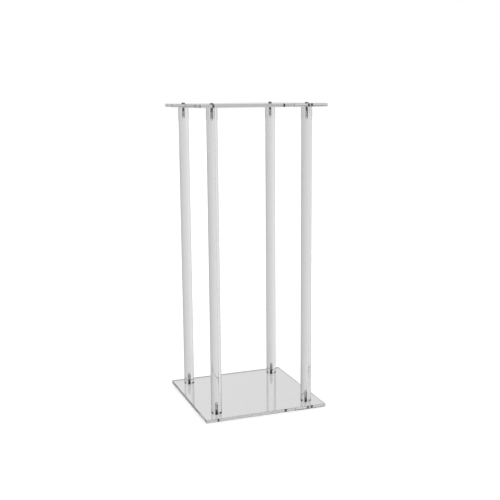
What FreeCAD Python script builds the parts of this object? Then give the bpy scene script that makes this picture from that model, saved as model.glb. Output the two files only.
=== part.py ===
"""Clear acrylic pedestal stand: two square plates held apart by four round rods, screwed at both ends.

Frame: +Z up, origin at the middle of the base plate's underside. Sizes are in millimetres.
The plates' sides lie along X and Y. Names say front for -Y, rear for +Y, left for -X, right for +X.
"""

import FreeCAD, Part
import math
import os
from types import SimpleNamespace

import Sketcher

SHEET = "Sizes"
SIZES = {
    # plates
    "plate_side": 381.0,
    "plate_thick": 9.525,
    "corner_radius": 1.5,
    "plate_arris": 0.5,
    # rods
    "rod_dia": 31.75,
    "rod_length": 895.35,
    "rod_inset": 46.0,
    "rod_arris": 0.6,
    # tapped holes in the rods' ends
    "drill_dia": 5.1,
    "drill_depth": 34.0,
    "tapped_depth": 30.48,
    "mouth_dia": 7.0,
    # quarter-inch coarse thread
    "thread_dia": 6.35,
    "thread_root_dia": 4.98,
    "thread_pitch": 1.27,
    "thread_play": 0.04,
    # screws
    "screw_length": 22.225,
    "screw_neck": 2.54,
    "screw_point": 0.6,
    "button_dia": 11.1,
    "button_height": 3.35,
    "button_round": 2.9,
    "sunk_dia": 12.4,
    "sunk_rim": 0.2,
    "sunk_set": 0.2,
    "socket_flats": 3.97,
    "socket_depth": 1.9,
    # holes through the plates
    "clearance_dia": 7.0,
    "countersink_dia": 13.2,
}
COUNTERSINK_ANGLE = 82.0
DRILL_POINT_ANGLE = 118.0
MOUTH_ANGLE = 90.0

# A thread's V, as parts of its pitch: how wide it is at its foot and across its crest.
RIDGE_FOOT = 0.8
GROOVE_FOOT = 0.95
CREST_FLAT = 0.25

CORNERS = {
    "front_left": (-1, -1),
    "front_right": (1, -1),
    "rear_right": (1, 1),
    "rear_left": (-1, 1),
}

# How the sketcher numbers a line's ends, a circle's middle and the sketch's own origin.
START, END, CENTRE = 1, 2, 3
SKETCH_ORIGIN = (-1, 1)

doc = FreeCAD.newDocument("acrylic_stand")


class Length:
    """A length, kept both as its value and as the expression that gives it from the sheet."""

    def __init__(self, value, text):
        self.value = value
        self.text = text

    def __add__(self, other):
        return Length(self.value + other.value, f"({self.text} + {other.text})")

    def __sub__(self, other):
        return Length(self.value - other.value, f"({self.text} - {other.text})")

    def __mul__(self, factor):
        return Length(self.value * factor, f"({self.text} * {factor})")

    def __neg__(self):
        return self * -1


NONE = Length(0.0, "0")
dim = SimpleNamespace(
    **{name: Length(value, f"{SHEET}.{name}") for name, value in SIZES.items()}
)


def cone_height(wide, narrow, angle):
    """The height of a cone between two diameters, for the angle from side to side."""
    return (wide - narrow) * round(0.5 / math.tan(math.radians(angle / 2)), 6)


def fill_sheet():
    """Writes every driving dimension in a row of its own, with its alias beside it."""
    sheet = doc.addObject("Spreadsheet::Sheet", SHEET)
    for row, (name, value) in enumerate(SIZES.items(), start=1):
        sheet.set(f"A{row}", name)
        sheet.set(f"B{row}", str(value))
        sheet.setAlias(f"B{row}", name)
    doc.recompute()


def bind(thing, prop, length):
    """Ties a property of a feature, or a constraint of a sketch, to the sheet."""
    thing.setExpression(prop, length.text)


def new_body(name):
    body = doc.addObject("PartDesign::Body", name)
    body.Label = name
    return body


def new_sketch(body, name, role, height=NONE):
    """An empty sketch on the body's origin plane of that role, or that high above it."""
    sketch = body.newObject("Sketcher::SketchObject", name)
    plane = next(f for f in body.Origin.OriginFeatures if f.Role == role)
    sketch.AttachmentSupport = [(plane, "")]
    sketch.MapMode = "FlatFace"
    bind(sketch, "AttachmentOffset.Base.z", height)
    return sketch


def pin_point(sketch, geometry, point, x, y):
    """Holds a point of the sketch at x and y from the sketch's origin."""
    for kind, length in (("DistanceX", x), ("DistanceY", y)):
        index = sketch.addConstraint(
            Sketcher.Constraint(kind, *SKETCH_ORIGIN, geometry, point, length.value)
        )
        bind(sketch, f"Constraints[{index}]", length)


def add_outline(sketch, points):
    """A closed outline of straight lines through the points."""
    corners = [FreeCAD.Vector(x.value, y.value, 0) for x, y in points]
    lines = [
        sketch.addGeometry(Part.LineSegment(here, there), False)
        for here, there in zip(corners, corners[1:] + corners[:1])
    ]
    for line, following in zip(lines, lines[1:] + lines[:1]):
        sketch.addConstraint(
            Sketcher.Constraint("Coincident", line, END, following, START)
        )
    for line, (x, y) in zip(lines, points):
        pin_point(sketch, line, START, x, y)


def add_circle(sketch, x, y, diameter):
    middle = FreeCAD.Vector(x.value, y.value, 0)
    normal = FreeCAD.Vector(0, 0, 1)
    circle = sketch.addGeometry(Part.Circle(middle, normal, diameter.value / 2), False)
    index = sketch.addConstraint(
        Sketcher.Constraint("Diameter", circle, diameter.value)
    )
    bind(sketch, f"Constraints[{index}]", diameter)
    pin_point(sketch, circle, CENTRE, x, y)


def add_hexagon(sketch, flats):
    """A regular hexagon about the sketch's origin, as wide as flats from side to side."""
    half_side = flats * round(0.5 * math.tan(math.radians(30)), 6)
    add_outline(
        sketch,
        [
            (half_side * 2, NONE),
            (half_side, flats * 0.5),
            (-half_side, flats * 0.5),
            (-half_side * 2, NONE),
            (-half_side, flats * -0.5),
            (half_side, flats * -0.5),
        ],
    )


def add_feature(body, kind, name, sketch):
    feature = body.newObject(f"PartDesign::{kind}", name)
    feature.Profile = (sketch, [""])
    sketch.Visibility = False
    return feature


def pad(body, sketch, length):
    feature = add_feature(body, "Pad", f"{body.Label}_pad", sketch)
    bind(feature, "Length", length)
    doc.recompute()
    return feature


def turn(body, kind, sketch):
    """A full turn of the sketch about its own upright axis: a Revolution or a Groove."""
    feature = add_feature(body, kind, f"{sketch.Label}_turned", sketch)
    feature.ReferenceAxis = (sketch, ["V_Axis"])
    feature.Angle = 360
    doc.recompute()
    return feature


def soften(body, kind, what, base, wanted, length):
    """A Fillet or a Chamfer on those edges of the base feature that pass the wanted test."""
    names = [f"Edge{i}" for i, e in enumerate(base.Shape.Edges, start=1) if wanted(e)]
    feature = body.newObject(f"PartDesign::{kind}", f"{body.Label}_{what}")
    feature.Base = (base, names)
    bind(feature, "Radius" if kind == "Fillet" else "Size", length)
    doc.recompute()
    return feature


def steepness(edge):
    """How far an edge points up where it starts: 1 for an upright edge, 0 for a level one."""
    return abs(edge.tangentAt(edge.FirstParameter).z)


def must_cut(what, before, after):
    """Stops the build if a cut took nothing away."""
    removed = before.Shape.Volume - after.Shape.Volume
    print(f"{what} removed {removed:.1f} mm3")
    if removed <= 0:
        raise RuntimeError(f"{what} cut nothing")


def cut_or_add_thread(body, kind, name, start, foot, crest, foot_part, rise, downwards):
    """A right-handed helix of a V between the foot and crest radii, which starts at a height.

    The V is foot_part of a pitch wide at its foot. The helix climbs by rise, or goes down by it.
    """
    sketch = new_sketch(body, f"{name}_shape", "XZ_Plane")
    half_foot = dim.thread_pitch * (foot_part / 2)
    half_crest = dim.thread_pitch * (CREST_FLAT / 2)
    add_outline(
        sketch,
        [
            (foot, start - half_foot),
            (crest, start - half_crest),
            (crest, start + half_crest),
            (foot, start + half_foot),
        ],
    )
    feature = add_feature(body, kind, name, sketch)
    feature.ReferenceAxis = (sketch, ["V_Axis"])
    feature.Mode = "pitch-height-angle"
    bind(feature, "Pitch", dim.thread_pitch)
    bind(feature, "Height", rise)
    feature.LeftHanded = False
    feature.Reversed = downwards
    doc.recompute()
    return feature


def make_plate(name, countersunk):
    """A square plate with softened edges and a clearance hole over each rod.

    Its underside is at its own z 0. The countersinks open downwards.
    """
    body = new_body(name)
    half = dim.plate_side * 0.5
    outline = new_sketch(body, f"{name}_outline", "XY_Plane")
    add_outline(outline, [(-half, -half), (half, -half), (half, half), (-half, half)])
    slab = pad(body, outline, dim.plate_thick)
    rounded = soften(
        body, "Fillet", "corners", slab, lambda e: steepness(e) > 0.9, dim.corner_radius
    )
    softened = soften(
        body, "Chamfer", "arris", rounded, lambda e: steepness(e) < 0.1, dim.plate_arris
    )

    places = new_sketch(body, f"{name}_hole_places", "XY_Plane")
    for side_x, side_y in CORNERS.values():
        add_circle(places, *rod_axis(side_x, side_y), dim.clearance_dia)
    doc.recompute()
    holes = add_feature(body, "Hole", f"{name}_holes", places)
    doc.recompute()
    holes.Threaded = False
    holes.DepthType = "ThroughAll"
    holes.Reversed = True
    bind(holes, "Diameter", dim.clearance_dia)
    if countersunk:
        holes.HoleCutType = "Countersink"
        holes.HoleCutCountersinkAngle = COUNTERSINK_ANGLE
        bind(holes, "HoleCutDiameter", dim.countersink_dia)
    doc.recompute()
    must_cut(f"{name}: holes", softened, holes)
    return body


def rod_axis(side_x, side_y):
    """Where a rod's axis stands, for the sides of the stand that it is on."""
    out = dim.plate_side * 0.5 - dim.rod_inset
    return out * side_x, out * side_y


def make_rod(name):
    """A round rod on its own z 0, with softened ends and a tapped blind hole in each end."""
    body = new_body(name)
    section = new_sketch(body, f"{name}_section", "XY_Plane")
    add_circle(section, NONE, NONE, dim.rod_dia)
    bar = pad(body, section, dim.rod_length)
    rims = soften(
        body, "Chamfer", "rims", bar, lambda e: steepness(e) < 0.1, dim.rod_arris
    )
    lower = drill_and_tap(body, f"{name}_lower", NONE, 1)
    must_cut(f"{name}: lower hole", rims, lower)
    upper = drill_and_tap(body, f"{name}_upper", dim.rod_length, -1)
    must_cut(f"{name}: upper hole", lower, upper)
    return body


def drill_and_tap(body, name, end_height, inward):
    """A drilled hole with a conical bottom and a bevelled mouth, and the thread in its wall."""
    wall = dim.drill_dia * 0.5
    bevel = cone_height(dim.mouth_dia, dim.drill_dia, MOUTH_ANGLE)
    point = cone_height(dim.drill_dia, NONE, DRILL_POINT_ANGLE)
    drill = new_sketch(body, f"{name}_drill", "XZ_Plane")
    add_outline(
        drill,
        [
            (NONE, end_height),
            (dim.mouth_dia * 0.5, end_height),
            (wall, end_height + bevel * inward),
            (wall, end_height + dim.drill_depth * inward),
            (NONE, end_height + (dim.drill_depth + point) * inward),
        ],
    )
    turn(body, "Groove", drill)
    return cut_or_add_thread(
        body,
        "SubtractiveHelix",
        f"{name}_thread",
        start=end_height,
        foot=wall - dim.thread_play,
        crest=dim.thread_dia * 0.5 + dim.thread_play,
        foot_part=GROOVE_FOOT,
        rise=dim.tapped_depth,
        downwards=inward < 0,
    )


def make_screw(name, head, head_top, thread_top):
    """A socket screw whose shank points down from its own z 0.

    The head is its half outline, from the axis at the top out and down to the shank.
    """
    body = new_body(name)
    core = dim.thread_root_dia * 0.5
    profile = new_sketch(body, f"{name}_profile", "XZ_Plane")
    shank = [
        (core, dim.screw_point - dim.screw_length),
        (core - dim.screw_point, -dim.screw_length),
        (NONE, -dim.screw_length),
    ]
    add_outline(profile, head + shank)
    blank = turn(body, "Revolution", profile)
    if head_top.value > 0:
        blank = soften(
            body,
            "Fillet",
            "dome",
            blank,
            lambda e: e.BoundBox.ZMin > head_top.value - 0.01,
            dim.button_round,
        )

    hexagon = new_sketch(body, f"{name}_socket_shape", "XY_Plane", head_top)
    add_hexagon(hexagon, dim.socket_flats)
    socket = add_feature(body, "Pocket", f"{name}_socket", hexagon)
    bind(socket, "Length", dim.socket_depth)
    doc.recompute()
    must_cut(f"{name}: socket", blank, socket)

    first_turn = dim.thread_pitch - dim.screw_length
    cut_or_add_thread(
        body,
        "AdditiveHelix",
        f"{name}_thread",
        start=first_turn,
        foot=core - dim.thread_play,
        crest=dim.thread_dia * 0.5,
        foot_part=RIDGE_FOOT,
        rise=thread_top - first_turn,
        downwards=False,
    )
    return body


def make_button_screw(name):
    """A button-head screw, with its own z 0 at the underside of its domed head."""
    edge = dim.button_dia * 0.5
    head = [
        (NONE, dim.button_height),
        (edge, dim.button_height),
        (edge, NONE),
        (dim.thread_root_dia * 0.5, NONE),
    ]
    return make_screw(name, head, dim.button_height, -dim.screw_neck)


def make_sunk_screw(name):
    """A countersunk screw, with its own z 0 at the plate's face, a little above its flat top."""
    edge = dim.sunk_dia * 0.5
    top = -dim.sunk_set
    rim = top - dim.sunk_rim
    neck = rim - cone_height(dim.sunk_dia, dim.thread_root_dia, COUNTERSINK_ANGLE)
    head = [(NONE, top), (edge, top), (edge, rim), (dim.thread_root_dia * 0.5, neck)]
    return make_screw(name, head, top, neck - dim.screw_neck)


def place(body, x, y, z, upside_down=False):
    """Puts a body at its place in the stand, turned over about X if it is upside down."""
    if upside_down:
        over = FreeCAD.Rotation(FreeCAD.Vector(1, 0, 0), 180)
        body.Placement = FreeCAD.Placement(FreeCAD.Vector(), over)
    for axis, length in zip("xyz", (x, y, z)):
        bind(body, f"Placement.Base.{axis}", length)


def make_stand():
    """Builds every piece at its place and gives them all back."""
    base_plate = make_plate("base_plate", countersunk=True)
    place(base_plate, NONE, NONE, NONE)
    rods_top = dim.plate_thick + dim.rod_length
    top_plate = make_plate("top_plate", countersunk=False)
    place(top_plate, NONE, NONE, rods_top)
    bodies = [base_plate, top_plate]
    for corner, sides in CORNERS.items():
        x, y = rod_axis(*sides)
        rod = make_rod(f"{corner}_rod")
        place(rod, x, y, dim.plate_thick)
        top_screw = make_button_screw(f"top_screw_{corner}")
        place(top_screw, x, y, rods_top + dim.plate_thick)
        base_screw = make_sunk_screw(f"base_screw_{corner}")
        place(base_screw, x, y, NONE, upside_down=True)
        bodies += [rod, top_screw, base_screw]
    doc.recompute()
    return bodies


def check(bodies):
    """Stops the build if a feature failed to compute or a piece isn't one valid solid."""
    for thing in doc.Objects:
        if {"Invalid", "Error"} & set(thing.State):
            raise RuntimeError(f"{thing.Name} failed: {thing.State}")
    for body in bodies:
        shape = body.Shape
        if shape.isNull() or not shape.isValid() or len(shape.Solids) != 1:
            raise RuntimeError(f"{body.Label} isn't one valid solid")


def export(bodies):
    os.makedirs("parts", exist_ok=True)
    for body in bodies:
        body.Shape.exportStep(f"parts/{body.Label}.step")
        print(f"{body.Label}: {body.Shape.Volume:.1f} mm3")


fill_sheet()
pieces = make_stand()
check(pieces)
export(pieces)
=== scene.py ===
"""Looks of the clear acrylic pedestal stand: clear plates and rods, steel screws, white studio.

Everything is in metres in the row frame, with +Z up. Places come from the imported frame's boxes.
"""

import math

import bmesh
import bpy
from mathutils import Matrix, Vector


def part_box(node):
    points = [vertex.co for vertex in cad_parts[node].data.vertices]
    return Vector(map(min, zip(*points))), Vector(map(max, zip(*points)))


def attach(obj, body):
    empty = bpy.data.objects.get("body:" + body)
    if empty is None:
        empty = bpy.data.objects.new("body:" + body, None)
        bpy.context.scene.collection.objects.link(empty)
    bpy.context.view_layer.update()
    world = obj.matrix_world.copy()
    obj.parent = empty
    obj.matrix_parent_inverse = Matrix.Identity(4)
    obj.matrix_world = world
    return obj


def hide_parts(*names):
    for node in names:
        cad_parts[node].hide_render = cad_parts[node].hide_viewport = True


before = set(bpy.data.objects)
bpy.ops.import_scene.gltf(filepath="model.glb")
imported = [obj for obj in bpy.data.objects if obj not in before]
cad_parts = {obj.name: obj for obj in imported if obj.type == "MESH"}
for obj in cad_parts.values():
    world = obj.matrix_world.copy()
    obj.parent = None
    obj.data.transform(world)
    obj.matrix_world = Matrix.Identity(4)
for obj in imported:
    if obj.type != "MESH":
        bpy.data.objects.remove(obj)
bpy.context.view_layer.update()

MM = 0.001

# Tapped holes and screws, as the real pieces are made.
PITCH = 1.27 * MM
CREST_FLAT = 0.25
SCREW_CORE_R = 2.49 * MM
SCREW_CREST_R = 3.175 * MM
SCREW_RIDGE_FOOT = 0.77
SCREW_POINT = 0.6 * MM
SCREW_NECK = 2.54 * MM
DRILL_R = 2.55 * MM
DRILL_DEPTH = 34.0 * MM
DRILL_POINT = 1.53 * MM
GROOVE_R = 3.215 * MM
GROOVE_FOOT = 0.91
TAPPED_DEPTH = 30.48 * MM
MOUTH_R = 3.5 * MM
BUTTON_FLAT_R = 2.75 * MM
BUTTON_RIM = 0.45 * MM
SUNK_RIM = 0.2 * MM
SOCKET_FLATS = 3.97 * MM
SOCKET_DEPTH = 1.9 * MM
SOCKET_BEVEL = 0.12 * MM
CLEARANCE_R = 3.5 * MM
COUNTERSINK_R = 6.6 * MM
COUNTERSINK_SLOPE = math.tan(math.radians(41))
CORNER_R = 1.5 * MM
ARRIS = 0.5 * MM

# Fineness of the meshes.
SEGMENTS = 96
RINGS_PER_PITCH = 8
CORNER_STEPS = 10
ARRIS_STEPS = 3
DOME_STEPS = 14
SHARP_ANGLE = math.radians(12)

# Clear acrylic.
ACRYLIC_IOR = 1.49
SHEET_TINT = (0.97, 0.97, 0.97)
SHEET_GRAIN = (14, 14, 14)
ROD_TINT = (0.95, 0.95, 0.95)
ROD_GRAIN = (260, 260, 1.5)
HAZE_GRAIN = (60, 60, 25)
CAST_GRAIN = (9, 9, 9)
CAST_DEPTH = 0.01
WAVINESS = 0.02 * MM
MOST_HAZE = 0.012
BODY_GREY = (0.5, 0.5, 0.5, 1)
BODY_DENSITY = 1.6

# A rod's colour is darkened to this much between these two turns, painted shade for the dark
# surroundings seen at its outline: 0 faces the eye, 1 is the very outline.
ROD_LIMB_SHADE = 0.25
LIMB_SHADE_TURNS = (0.4, 0.75)

# Screw steel, coloured far darker than bright steel: painted shade for the dark surroundings it
# mirrors, with a tone that differs at random.
STEEL_DARK = (0.13, 0.13, 0.135)
STEEL_LIGHT = (0.22, 0.22, 0.225)
STEEL_ROUGHNESS = (0.12, 0.3)
TURNING_GRAIN = (500, 500, 9000)
KNOCK_GRAIN = (1500, 1500, 1500)
TONE_GRAIN = (300, 300, 300)
TURNING_HEIGHT = 0.01 * MM
KNOCK_HEIGHT = 0.008 * MM

# The dry joints and the floor keep this much air, so that each clear face stays a face of its own.
AIR = 0.05 * MM

PLATES = ("base_plate", "top_plate")
CORNERS = ("front_left", "front_right", "rear_right", "rear_left")

# The camera. Bearings turn from +Y towards +X, and the distance is level, from the stand's axis.
CAMERA_BEARING = 19.76
CAMERA_DISTANCE = 2.586
CAMERA_HEIGHT = 0.9374
CAMERA_YAW = 20.15
CAMERA_PITCH = 10.3
CAMERA_ROLL = -0.49
CAMERA_LENS = 61.2


# ---------------------------------------------------------------- meshes


def finish_mesh(bm, name):
    """Turns the bmesh into a shaded object: round stretches smooth, true edges sharp."""
    bmesh.ops.remove_doubles(bm, verts=bm.verts, dist=1e-7)
    bmesh.ops.recalc_face_normals(bm, faces=bm.faces)
    for face in bm.faces:
        face.smooth = True
    for edge in bm.edges:
        if edge.calc_face_angle(0.0) > SHARP_ANGLE:
            edge.smooth = False
    mesh = bpy.data.meshes.new(name)
    bm.to_mesh(mesh)
    bm.free()
    piece = bpy.data.objects.new(name, mesh)
    bpy.context.collection.objects.link(piece)
    return piece


def add_ring(bm, centre, z, radius, segments=SEGMENTS):
    """A ring of vertices about an upright axis. The radius may be a function of the angle."""
    verts = []
    for i in range(segments):
        angle = 2 * math.pi * i / segments
        r = radius(angle) if callable(radius) else radius
        x = centre.x + r * math.cos(angle)
        y = centre.y + r * math.sin(angle)
        verts.append(bm.verts.new((x, y, z)))
    return verts


def bridge(bm, lower, upper):
    """Quads between two rings with the same number of vertices."""
    count = len(lower)
    for i in range(count):
        j = (i + 1) % count
        bm.faces.new((lower[i], lower[j], upper[j], upper[i]))


def cap_to_point(bm, ring, point):
    """Triangles from a ring to one point on its axis."""
    tip = bm.verts.new(point)
    count = len(ring)
    for i in range(count):
        bm.faces.new((ring[i], ring[(i + 1) % count], tip))


def loop_edges(bm, verts):
    """The edges of a closed loop of vertices, made where they don't exist yet."""
    edges = []
    for here, there in zip(verts, verts[1:] + verts[:1]):
        edges.append(bm.edges.get((here, there)) or bm.edges.new((here, there)))
    return edges


def fill_flat(bm, loops):
    """Fills the flat space between an outer loop and the loops inside it."""
    edges = [edge for loop in loops for edge in loop_edges(bm, loop)]
    bmesh.ops.triangle_fill(bm, use_beauty=True, use_dissolve=False, edges=edges)


def quarter_round(steps):
    """Points of a quarter circle of radius 1, from (1, 0) to (0, 1)."""
    turns = [math.pi / 2 * i / steps for i in range(steps + 1)]
    return [(math.cos(turn), math.sin(turn)) for turn in turns]


def thread_radius(z, joint_z, root, crest, foot, strength=1.0):
    """The radius of a right-handed V thread at height z, as a function of the angle."""

    def radius(angle):
        off = (z - joint_z) / PITCH - angle / (2 * math.pi)
        off = abs((off + 0.5) % 1 - 0.5)
        rise = (foot / 2 - off) / (foot / 2 - CREST_FLAT / 2)
        return root + (crest - root) * strength * min(1.0, max(0.0, rise))

    return radius


def thread_levels(low, high):
    """Depths from low to high on the thread's own lattice, counted from the joint."""
    step = PITCH / RINGS_PER_PITCH
    first, last = math.ceil(low / step), math.floor(high / step)
    return [step * i for i in range(first, last + 1)]


def run_out(depth, low, high):
    """How much of the thread is there: all of it, but fading over the last half pitch."""
    return min(1.0, max(0.0, min(depth - low, high - depth) / (PITCH / 2)))


def end_rings(bm, centre, end_z, inward, rod_r):
    """The rings of one end of a rod, from the bottom of its tapped hole out to its wall."""
    wall_start = MOUTH_R - DRILL_R
    rings = [
        add_ring(bm, centre, end_z + inward * DRILL_DEPTH, DRILL_R),
        add_ring(bm, centre, end_z + inward * (TAPPED_DEPTH + PITCH), DRILL_R),
    ]
    cap_to_point(
        bm,
        rings[0],
        (centre.x, centre.y, end_z + inward * (DRILL_DEPTH + DRILL_POINT)),
    )
    for depth in reversed(thread_levels(wall_start, TAPPED_DEPTH)):
        z = end_z + inward * depth
        strength = run_out(depth, -PITCH, TAPPED_DEPTH)
        groove = thread_radius(z, end_z, DRILL_R, GROOVE_R, GROOVE_FOOT, strength)
        rings.append(add_ring(bm, centre, z, groove))
    rings.append(add_ring(bm, centre, end_z, MOUTH_R))
    for across, along in reversed(quarter_round(ARRIS_STEPS)):
        r = rod_r - ARRIS * (1 - across)
        z = end_z + inward * ARRIS * (1 - along)
        rings.append(add_ring(bm, centre, z, r))
    return rings


def make_rod(node):
    """A clear round rod with its softened ends and the tapped blind hole in each end."""
    low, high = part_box(node)
    centre = (low + high) / 2
    rod_r = (high.x - low.x) / 2
    bm = bmesh.new()
    lower = end_rings(bm, centre, low.z + AIR, 1, rod_r)
    upper = end_rings(bm, centre, high.z - AIR, -1, rod_r)
    rings = lower + upper[::-1]
    for here, there in zip(rings, rings[1:]):
        bridge(bm, here, there)
    return finish_mesh(bm, f"clear_{node}")


def plate_outline(bm, low, high, z, inset):
    """A loop round a square with rounded corners, drawn in from the plate's sides."""
    radius = CORNER_R - inset
    verts = []
    for quarter, (x, y) in enumerate(
        ((high.x, high.y), (low.x, high.y), (low.x, low.y), (high.x, low.y))
    ):
        middle_x = x - math.copysign(CORNER_R, x)
        middle_y = y - math.copysign(CORNER_R, y)
        for step in range(CORNER_STEPS + 1):
            angle = math.pi / 2 * (quarter + step / CORNER_STEPS)
            across = middle_x + radius * math.cos(angle)
            along = middle_y + radius * math.sin(angle)
            verts.append(bm.verts.new((across, along, z)))
    return verts


def mark_flat_sides(bm, lower, upper):
    """Keeps a plate's flat sides flat where its rounded corners start and end."""
    for i in range(len(lower)):
        if i % (CORNER_STEPS + 1) in (0, CORNER_STEPS):
            bm.edges.get((lower[i], upper[i])).smooth = False


def hole_profile(thick, countersunk):
    """A plate hole as (height over the underside, radius), from the underside up."""
    nick = 0.25 * MM
    top = [(thick - nick, CLEARANCE_R), (thick, CLEARANCE_R + nick)]
    if countersunk:
        cone = (COUNTERSINK_R - CLEARANCE_R) / COUNTERSINK_SLOPE
        return [(0.0, COUNTERSINK_R), (cone, CLEARANCE_R)] + top
    return [(0.0, CLEARANCE_R + nick), (nick, CLEARANCE_R)] + top


def make_plate(node, hole_centres, countersunk):
    """A clear square plate with softened edges and a hole at each corner."""
    low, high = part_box(node)
    thick = high.z - low.z
    bm = bmesh.new()
    arris = quarter_round(ARRIS_STEPS)
    levels = [(low.z + ARRIS * (1 - along), ARRIS * (1 - across)) for across, along in reversed(arris)]
    levels += [(high.z - ARRIS * (1 - along), ARRIS * (1 - across)) for across, along in arris]
    sides = [plate_outline(bm, low, high, z, inset) for z, inset in levels]
    for here, there in zip(sides, sides[1:]):
        bridge(bm, here, there)
        mark_flat_sides(bm, here, there)
    under, over = [sides[0]], [sides[-1]]
    for centre in hole_centres:
        rings = [
            add_ring(bm, centre, low.z + height, r)
            for height, r in hole_profile(thick, countersunk)
        ]
        for here, there in zip(rings, rings[1:]):
            bridge(bm, here, there)
        under.append(rings[0])
        over.append(rings[-1])
    fill_flat(bm, under)
    fill_flat(bm, over)
    return finish_mesh(bm, f"clear_{node}")


def add_hexagon(bm, centre, z, flats):
    """A loop of six vertices as wide as flats from side to side."""
    return add_ring(bm, centre, z, flats / math.sqrt(3), segments=6)


def add_socket(bm, centre, rim, face_z, inward):
    """A hexagon socket sunk into a head's flat face, inside its round rim."""
    mouth = add_hexagon(bm, centre, face_z, SOCKET_FLATS + 2 * SOCKET_BEVEL)
    throat = add_hexagon(bm, centre, face_z + inward * SOCKET_BEVEL, SOCKET_FLATS)
    floor = add_hexagon(bm, centre, face_z + inward * SOCKET_DEPTH, SOCKET_FLATS)
    fill_flat(bm, [rim, mouth])
    bridge(bm, mouth, throat)
    bridge(bm, throat, floor)
    drill_tip = face_z + inward * (SOCKET_DEPTH + 0.5 * MM)
    cap_to_point(bm, floor, (centre.x, centre.y, drill_tip))


def make_screw(node, joint_z, inward, head):
    """A socket screw in a rod's end. Depths count from the joint into the rod.

    The head is (depth, radius) from the shank out to the flat face's rim.
    """
    low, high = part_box(node)
    centre = (low + high) / 2
    tip = (high.z if inward > 0 else low.z) - joint_z
    tip_depth = abs(tip)
    face_depth = head[-1][0]
    bm = bmesh.new()
    ring_end = tip_depth - SCREW_POINT
    rings = [
        add_ring(bm, centre, joint_z + inward * tip_depth, SCREW_CORE_R - SCREW_POINT),
        add_ring(bm, centre, joint_z + inward * ring_end, SCREW_CORE_R),
    ]
    cap_to_point(bm, rings[0], (centre.x, centre.y, joint_z + inward * tip_depth))
    neck_depth = head[0][0] + SCREW_NECK
    for depth in reversed(thread_levels(neck_depth, ring_end - 1e-6)):
        z = joint_z + inward * depth
        strength = run_out(depth, neck_depth, ring_end)
        ridge = thread_radius(
            z, joint_z, SCREW_CORE_R, SCREW_CREST_R, SCREW_RIDGE_FOOT, strength
        )
        rings.append(add_ring(bm, centre, z, ridge))
    for depth, r in head:
        rings.append(add_ring(bm, centre, joint_z + inward * depth, r))
    for here, there in zip(rings, rings[1:]):
        bridge(bm, here, there)
    add_socket(bm, centre, rings[-1], joint_z + inward * face_depth, inward)
    return finish_mesh(bm, f"bright_{node}")


def button_head(node, joint_z):
    """A domed head on the plate's face."""
    low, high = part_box(node)
    top = joint_z - high.z
    seat = -(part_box("top_plate")[1].z - joint_z) - AIR
    edge = (high.x - low.x) / 2
    rim = seat - BUTTON_RIM
    head = [(seat, SCREW_CORE_R), (seat, edge - 0.15 * MM), (seat - 0.15 * MM, edge)]
    for across, along in quarter_round(DOME_STEPS):
        r = BUTTON_FLAT_R + (edge - BUTTON_FLAT_R) * across
        head.append((rim + (top - rim) * along, r))
    return head


def sunk_head(node, joint_z):
    """A countersunk head whose flat face looks down, a little inside the base plate."""
    low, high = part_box(node)
    face = low.z - joint_z
    edge = (high.x - low.x) / 2
    rim = face + SUNK_RIM
    neck = rim + (edge - SCREW_CORE_R) / COUNTERSINK_SLOPE
    return [(neck, SCREW_CORE_R), (rim, edge), (face, edge)]


# ---------------------------------------------------------------- materials


def new_material(name):
    """An empty node material with its Principled shader already wired to the output."""
    material = bpy.data.materials.new(name)
    material.use_nodes = True
    nodes, links = material.node_tree.nodes, material.node_tree.links
    nodes.clear()
    shader = nodes.new("ShaderNodeBsdfPrincipled")
    output = nodes.new("ShaderNodeOutputMaterial")
    links.new(shader.outputs["BSDF"], output.inputs["Surface"])
    return material, nodes, links, shader


def stretched_noise(nodes, links, stretch, detail=3.0):
    """Noise over the object's own coordinates, with that many cells a metre along each axis."""
    place = nodes.new("ShaderNodeTexCoord")
    scale = nodes.new("ShaderNodeMapping")
    scale.inputs["Scale"].default_value = stretch
    noise = nodes.new("ShaderNodeTexNoise")
    noise.inputs["Scale"].default_value = 1.0
    noise.inputs["Detail"].default_value = detail
    links.new(place.outputs["Object"], scale.inputs["Vector"])
    links.new(scale.outputs["Vector"], noise.inputs["Vector"])
    return noise.outputs["Fac"]


def spread(nodes, links, value, low, high, start=0.3, stop=0.7):
    """Maps a value between start and stop onto the range from low to high, and no further."""
    ramp = nodes.new("ShaderNodeMapRange")
    ramp.inputs["From Min"].default_value = start
    ramp.inputs["From Max"].default_value = stop
    ramp.inputs["To Min"].default_value = low
    ramp.inputs["To Max"].default_value = high
    links.new(value, ramp.inputs["Value"])
    return ramp.outputs["Result"]


def arithmetic(nodes, links, operation, *values, clamp=False):
    """A Math node over values that are numbers or other nodes' outputs."""
    node = nodes.new("ShaderNodeMath")
    node.operation = operation
    node.use_clamp = clamp
    for socket, value in zip(node.inputs, values):
        if isinstance(value, (int, float)):
            socket.default_value = value
        else:
            links.new(value, socket)
    return node.outputs["Value"]


def shades(nodes, links, value, dark, light):
    """A grey that wanders between two levels with a noise."""
    ramp = nodes.new("ShaderNodeValToRGB")
    ramp.color_ramp.elements[0].position = 0.3
    ramp.color_ramp.elements[0].color = (*dark, 1)
    ramp.color_ramp.elements[1].position = 0.7
    ramp.color_ramp.elements[1].color = (*light, 1)
    links.new(value, ramp.inputs["Fac"])
    return ramp.outputs["Color"]


def bump(nodes, links, value, distance, strength, normal=None):
    """A normal that follows a value as a height, over another normal where one is given."""
    node = nodes.new("ShaderNodeBump")
    node.inputs["Distance"].default_value = distance
    node.inputs["Strength"].default_value = strength
    links.new(value, node.inputs["Height"])
    if normal:
        links.new(normal, node.inputs["Normal"])
    return node.outputs["Normal"]


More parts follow.
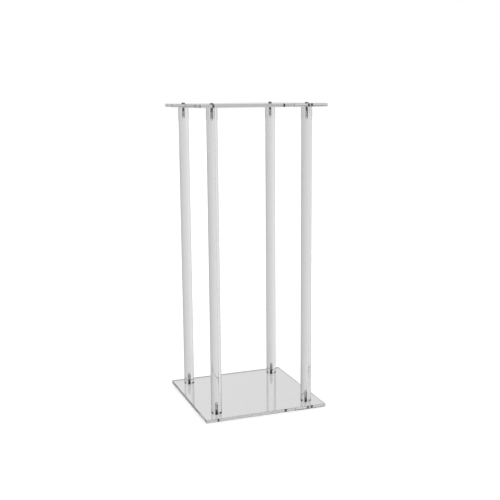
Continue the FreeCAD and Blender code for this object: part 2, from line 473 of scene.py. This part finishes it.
def painted_limb_shade(nodes, links, colour, limb_shade):
    """Darkens a glass colour where the surface turns edge-on, alike from every side: painted shade for
    the dark surroundings seen at a rod's outline.
    """
    rim = nodes.new("ShaderNodeLayerWeight")
    rim.inputs["Blend"].default_value = 0.5
    factor = spread(nodes, links, rim.outputs["Facing"], 1.0, limb_shade, *LIMB_SHADE_TURNS)
    scale = nodes.new("ShaderNodeVectorMath")
    scale.operation = "SCALE"
    links.new(colour, scale.inputs["Vector"])
    links.new(factor, scale.inputs["Scale"])
    return scale.outputs["Vector"]


def clear_acrylic(name, grain, tint, limb_shade=None):
    """Polished clear acrylic with the faint waves and haze that its making leaves."""
    material, nodes, links, shader = new_material(name)
    output = nodes["Material Output"]
    shader.inputs["Transmission Weight"].default_value = 1.0
    shader.inputs["IOR"].default_value = ACRYLIC_IOR
    waves = stretched_noise(nodes, links, grain, detail=1.0)
    cast = stretched_noise(nodes, links, CAST_GRAIN, detail=2.0)
    dark = tuple(level - CAST_DEPTH for level in tint)
    colour = shades(nodes, links, cast, dark, tint)
    # Painted shade: the rod's colour darkens towards its outline.
    if limb_shade is not None:
        colour = painted_limb_shade(nodes, links, colour, limb_shade)
    links.new(colour, shader.inputs["Base Color"])
    haze = stretched_noise(nodes, links, HAZE_GRAIN, detail=4.0)
    links.new(spread(nodes, links, haze, 0.0, MOST_HAZE), shader.inputs["Roughness"])
    links.new(bump(nodes, links, waves, WAVINESS, 1.0), shader.inputs["Normal"])
    body = nodes.new("ShaderNodeVolumeAbsorption")
    body.inputs["Color"].default_value = BODY_GREY
    body.inputs["Density"].default_value = BODY_DENSITY
    links.new(body.outputs["Volume"], output.inputs["Volume"])
    return material


def bright_steel():
    """Polished steel with turning marks, small knocks and uneven polish; its colour is darkened as
    painted shade for the dark surroundings it mirrors.
    """
    material, nodes, links, shader = new_material("bright_steel")
    shader.inputs["Metallic"].default_value = 1.0
    shader.inputs["Anisotropic"].default_value = 0.35
    turning = stretched_noise(nodes, links, TURNING_GRAIN, detail=2.0)
    knocks = stretched_noise(nodes, links, KNOCK_GRAIN, detail=5.0)
    tone = stretched_noise(nodes, links, TONE_GRAIN, detail=3.0)
    # Painted shade: the steel's colour is set dark, with a random tone between the two levels.
    links.new(shades(nodes, links, tone, STEEL_DARK, STEEL_LIGHT), shader.inputs["Base Color"])
    links.new(spread(nodes, links, knocks, *STEEL_ROUGHNESS), shader.inputs["Roughness"])
    rings = bump(nodes, links, turning, TURNING_HEIGHT, 0.6)
    links.new(bump(nodes, links, knocks, KNOCK_HEIGHT, 0.5, rings), shader.inputs["Normal"])
    return material


# ---------------------------------------------------------------- studio

FLOOR_REACH = 30.0
FLOOR_DROP = 4 * AIR
FAR_REACH = 6.0
FAR_GLOW = 0.85
PAPER = 0.9
WHITE_TO_CAMERA = 1.0
WHITE_TO_PAPER = 1.3
SEEN_TO_THE_LEFT = 0.9
SEEN_TO_THE_RIGHT = 0.54
WALL_BEHIND = 0.8
WALL_IN_FRONT = 0.02
BELOW = 0.25
WALL_MIRRORED = 0.75
CEILING = (1.0, 0.3)

# Where each of them starts and stops, as parts of a level or upright direction of length 1.
SIDES = (-0.8, 0.8)
FAR_WALL = (0.7, 0.9)
CEILING_RISE = (0.45, 0.8)
FLOOR_LINE = (-0.12, -0.02)


def make_floor():
    """A wide sheet of plain white paper, a hair under the base plate, not seen through clear pieces."""
    bm = bmesh.new()
    corners = [(x * FLOOR_REACH, y * FLOOR_REACH) for x, y in ((-1, -1), (1, -1), (1, 1), (-1, 1))]
    bm.faces.new([bm.verts.new((x, y, -FLOOR_DROP)) for x, y in corners])
    floor = finish_mesh(bm, "floor")
    material, nodes, links, shader = new_material("white_paper")
    shader.inputs["Roughness"].default_value = 0.9
    shader.inputs["Specular IOR Level"].default_value = 0.0
    grain = stretched_noise(nodes, links, (40, 40, 40), detail=6.0)
    paper = shades(nodes, links, grain, (PAPER - 0.01,) * 3, (PAPER,) * 3)
    links.new(paper, shader.inputs["Base Color"])
    floor.data.materials.append(material)
    floor.visible_transmission = False


def bearing_vector(bearing):
    """A level direction, from +Y towards +X by that many degrees."""
    turn = math.radians(bearing)
    return Vector((math.sin(turn), math.cos(turn), 0))


def reflected_glow(name, strength):
    """A material that glows evenly, and only for a ray that has already been reflected."""
    material = bpy.data.materials.new(name)
    material.use_nodes = True
    nodes, links = material.node_tree.nodes, material.node_tree.links
    nodes.clear()
    path = nodes.new("ShaderNodeLightPath")
    reflected = arithmetic(nodes, links, "GREATER_THAN", path.outputs["Glossy Depth"], 0.5)
    glow = nodes.new("ShaderNodeEmission")
    glow.inputs["Strength"].default_value = strength
    clear = nodes.new("ShaderNodeBsdfTransparent")
    mix = nodes.new("ShaderNodeMixShader")
    output = nodes.new("ShaderNodeOutputMaterial")
    links.new(reflected, mix.inputs["Fac"])
    links.new(clear.outputs["BSDF"], mix.inputs[1])
    links.new(glow.outputs["Emission"], mix.inputs[2])
    links.new(mix.outputs["Shader"], output.inputs["Surface"])
    return material


def stage_panel(panel, material):
    """A panel that only light which has gone through a clear piece can show."""
    panel.data.materials.append(material)
    panel.visible_camera = False
    panel.visible_diffuse = False
    panel.visible_glossy = False
    panel.visible_shadow = False


def far_panel(name, bearings, heights):
    """A flat panel far from the stand, fixed in the room and mirrored inside the clear pieces."""
    bm = bmesh.new()
    left, right = (bearing_vector(b) * FAR_REACH for b in bearings)
    corners = [(left, heights[0]), (right, heights[0]), (right, heights[1]), (left, heights[1])]
    bm.faces.new([bm.verts.new((p.x, p.y, z)) for p, z in corners])

    stage_panel(finish_mesh(bm, name), reflected_glow(name, FAR_GLOW))


def blend(nodes, links, factor, first, second):
    """One number that goes from first to second with the factor."""
    step = arithmetic(nodes, links, "SUBTRACT", second, first)
    step = arithmetic(nodes, links, "MULTIPLY", step, factor)
    return arithmetic(nodes, links, "ADD", first, step)


def along(nodes, links, vector, direction):
    """How far a vector points along a fixed direction."""
    node = nodes.new("ShaderNodeVectorMath")
    node.operation = "DOT_PRODUCT"
    node.inputs[1].default_value = direction
    links.new(vector, node.inputs[0])
    return node.outputs["Value"]


def make_world():
    """The studio's surroundings.

    The camera and the paper see plain white. What is seen straight through a clear piece is darker
    towards one side of the room. Light mirrored inside a piece shows a light far wall, a dim floor and
    darkness elsewhere, and a direct reflection shows one even grey. All of it is fixed in the room.
    """
    world = bpy.data.worlds.new("studio")
    bpy.context.scene.world = world
    world.use_nodes = True
    world.cycles.sampling_method = "NONE"
    nodes, links = world.node_tree.nodes, world.node_tree.links
    nodes.clear()
    place = nodes.new("ShaderNodeTexCoord")
    split = nodes.new("ShaderNodeSeparateXYZ")
    links.new(place.outputs["Generated"], split.inputs["Vector"])
    height = split.outputs["Z"]
    front = along(nodes, links, place.outputs["Generated"], bearing_vector(CAMERA_YAW))
    right = along(nodes, links, place.outputs["Generated"], bearing_vector(CAMERA_YAW + 90))
    through = spread(nodes, links, right, SEEN_TO_THE_LEFT, SEEN_TO_THE_RIGHT, *SIDES)
    walls = spread(nodes, links, front, WALL_IN_FRONT, WALL_BEHIND, *FAR_WALL)
    ceiling = spread(nodes, links, height, *CEILING, *CEILING_RISE)
    below = spread(nodes, links, height, BELOW, 0.0, *FLOOR_LINE)
    walls = arithmetic(nodes, links, "MULTIPLY", walls, ceiling)
    room = arithmetic(nodes, links, "MAXIMUM", walls, below)
    path = nodes.new("ShaderNodeLightPath")
    reflected = arithmetic(nodes, links, "MINIMUM", path.outputs["Glossy Depth"], 1.0)
    scattered = arithmetic(nodes, links, "MINIMUM", path.outputs["Diffuse Depth"], 1.0)
    level = blend(nodes, links, reflected, through, room)
    level = blend(nodes, links, path.outputs["Is Reflection Ray"], level, WALL_MIRRORED)
    level = blend(nodes, links, scattered, level, WHITE_TO_PAPER)
    level = blend(nodes, links, path.outputs["Is Camera Ray"], level, WHITE_TO_CAMERA)
    glow = nodes.new("ShaderNodeBackground")
    output = nodes.new("ShaderNodeOutputWorld")
    links.new(level, glow.inputs["Strength"])
    glow.inputs["Color"].default_value = (1, 1, 1, 1)
    links.new(glow.outputs["Background"], output.inputs["Surface"])


def make_camera():
    """A camera about level with the top plate, turned, tilted down and rolled a little."""
    back = bearing_vector(CAMERA_BEARING) * -CAMERA_DISTANCE
    yaw, pitch, roll = (math.radians(a) for a in (CAMERA_YAW, CAMERA_PITCH, CAMERA_ROLL))
    forward = bearing_vector(CAMERA_YAW) * math.cos(pitch) - Vector((0, 0, math.sin(pitch)))
    level_right = Vector((math.cos(yaw), -math.sin(yaw), 0))
    level_up = level_right.cross(forward)
    right = level_right * math.cos(roll) + level_up * math.sin(roll)
    up = level_up * math.cos(roll) - level_right * math.sin(roll)
    camera = bpy.data.objects.new("camera", bpy.data.cameras.new("camera"))
    camera.data.lens = CAMERA_LENS
    axes = Matrix((right, up, -forward)).transposed().to_4x4()
    camera.matrix_world = Matrix.Translation(back + Vector((0, 0, CAMERA_HEIGHT))) @ axes
    bpy.context.collection.objects.link(camera)
    bpy.context.scene.camera = camera


# ---------------------------------------------------------------- the stand


def put(piece, node, material):
    """Gives a piece its material, hangs it under the root body and hides the CAD node it stands for."""
    piece.data.materials.append(material)
    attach(piece, "root")
    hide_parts(node)


def make_stand():
    """The two plates, then each corner's rod and its two screws."""
    sheet = clear_acrylic("clear_sheet", SHEET_GRAIN, SHEET_TINT)
    # The rods carry painted shade, darker towards their outlines.
    rod_stock = clear_acrylic("clear_rod", ROD_GRAIN, ROD_TINT, ROD_LIMB_SHADE)
    steel = bright_steel()
    centres = [sum(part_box(f"{corner}_rod"), Vector()) / 2 for corner in CORNERS]
    for node in PLATES:
        plate = make_plate(node, centres, countersunk=node == "base_plate")
        put(plate, node, sheet)
    for corner in CORNERS:
        rod = f"{corner}_rod"
        put(make_rod(rod), rod, rod_stock)
        low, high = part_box(rod)
        top, base = f"top_screw_{corner}", f"base_screw_{corner}"
        screw = make_screw(top, high.z, -1, button_head(top, high.z))
        put(screw, top, steel)
        screw = make_screw(base, low.z, 1, sunk_head(base, low.z))
        put(screw, base, steel)


make_camera()
make_stand()
make_floor()
make_world()
far_panel("side_light", (140, 180), (0.4, 1.4))
far_panel("far_light", (-34, -6), (-4.0, 1.4))

scene = bpy.context.scene
scene.view_settings.view_transform = "Standard"
scene.cycles.max_bounces = 24
scene.cycles.transmission_bounces = 20
scene.cycles.glossy_bounces = 20
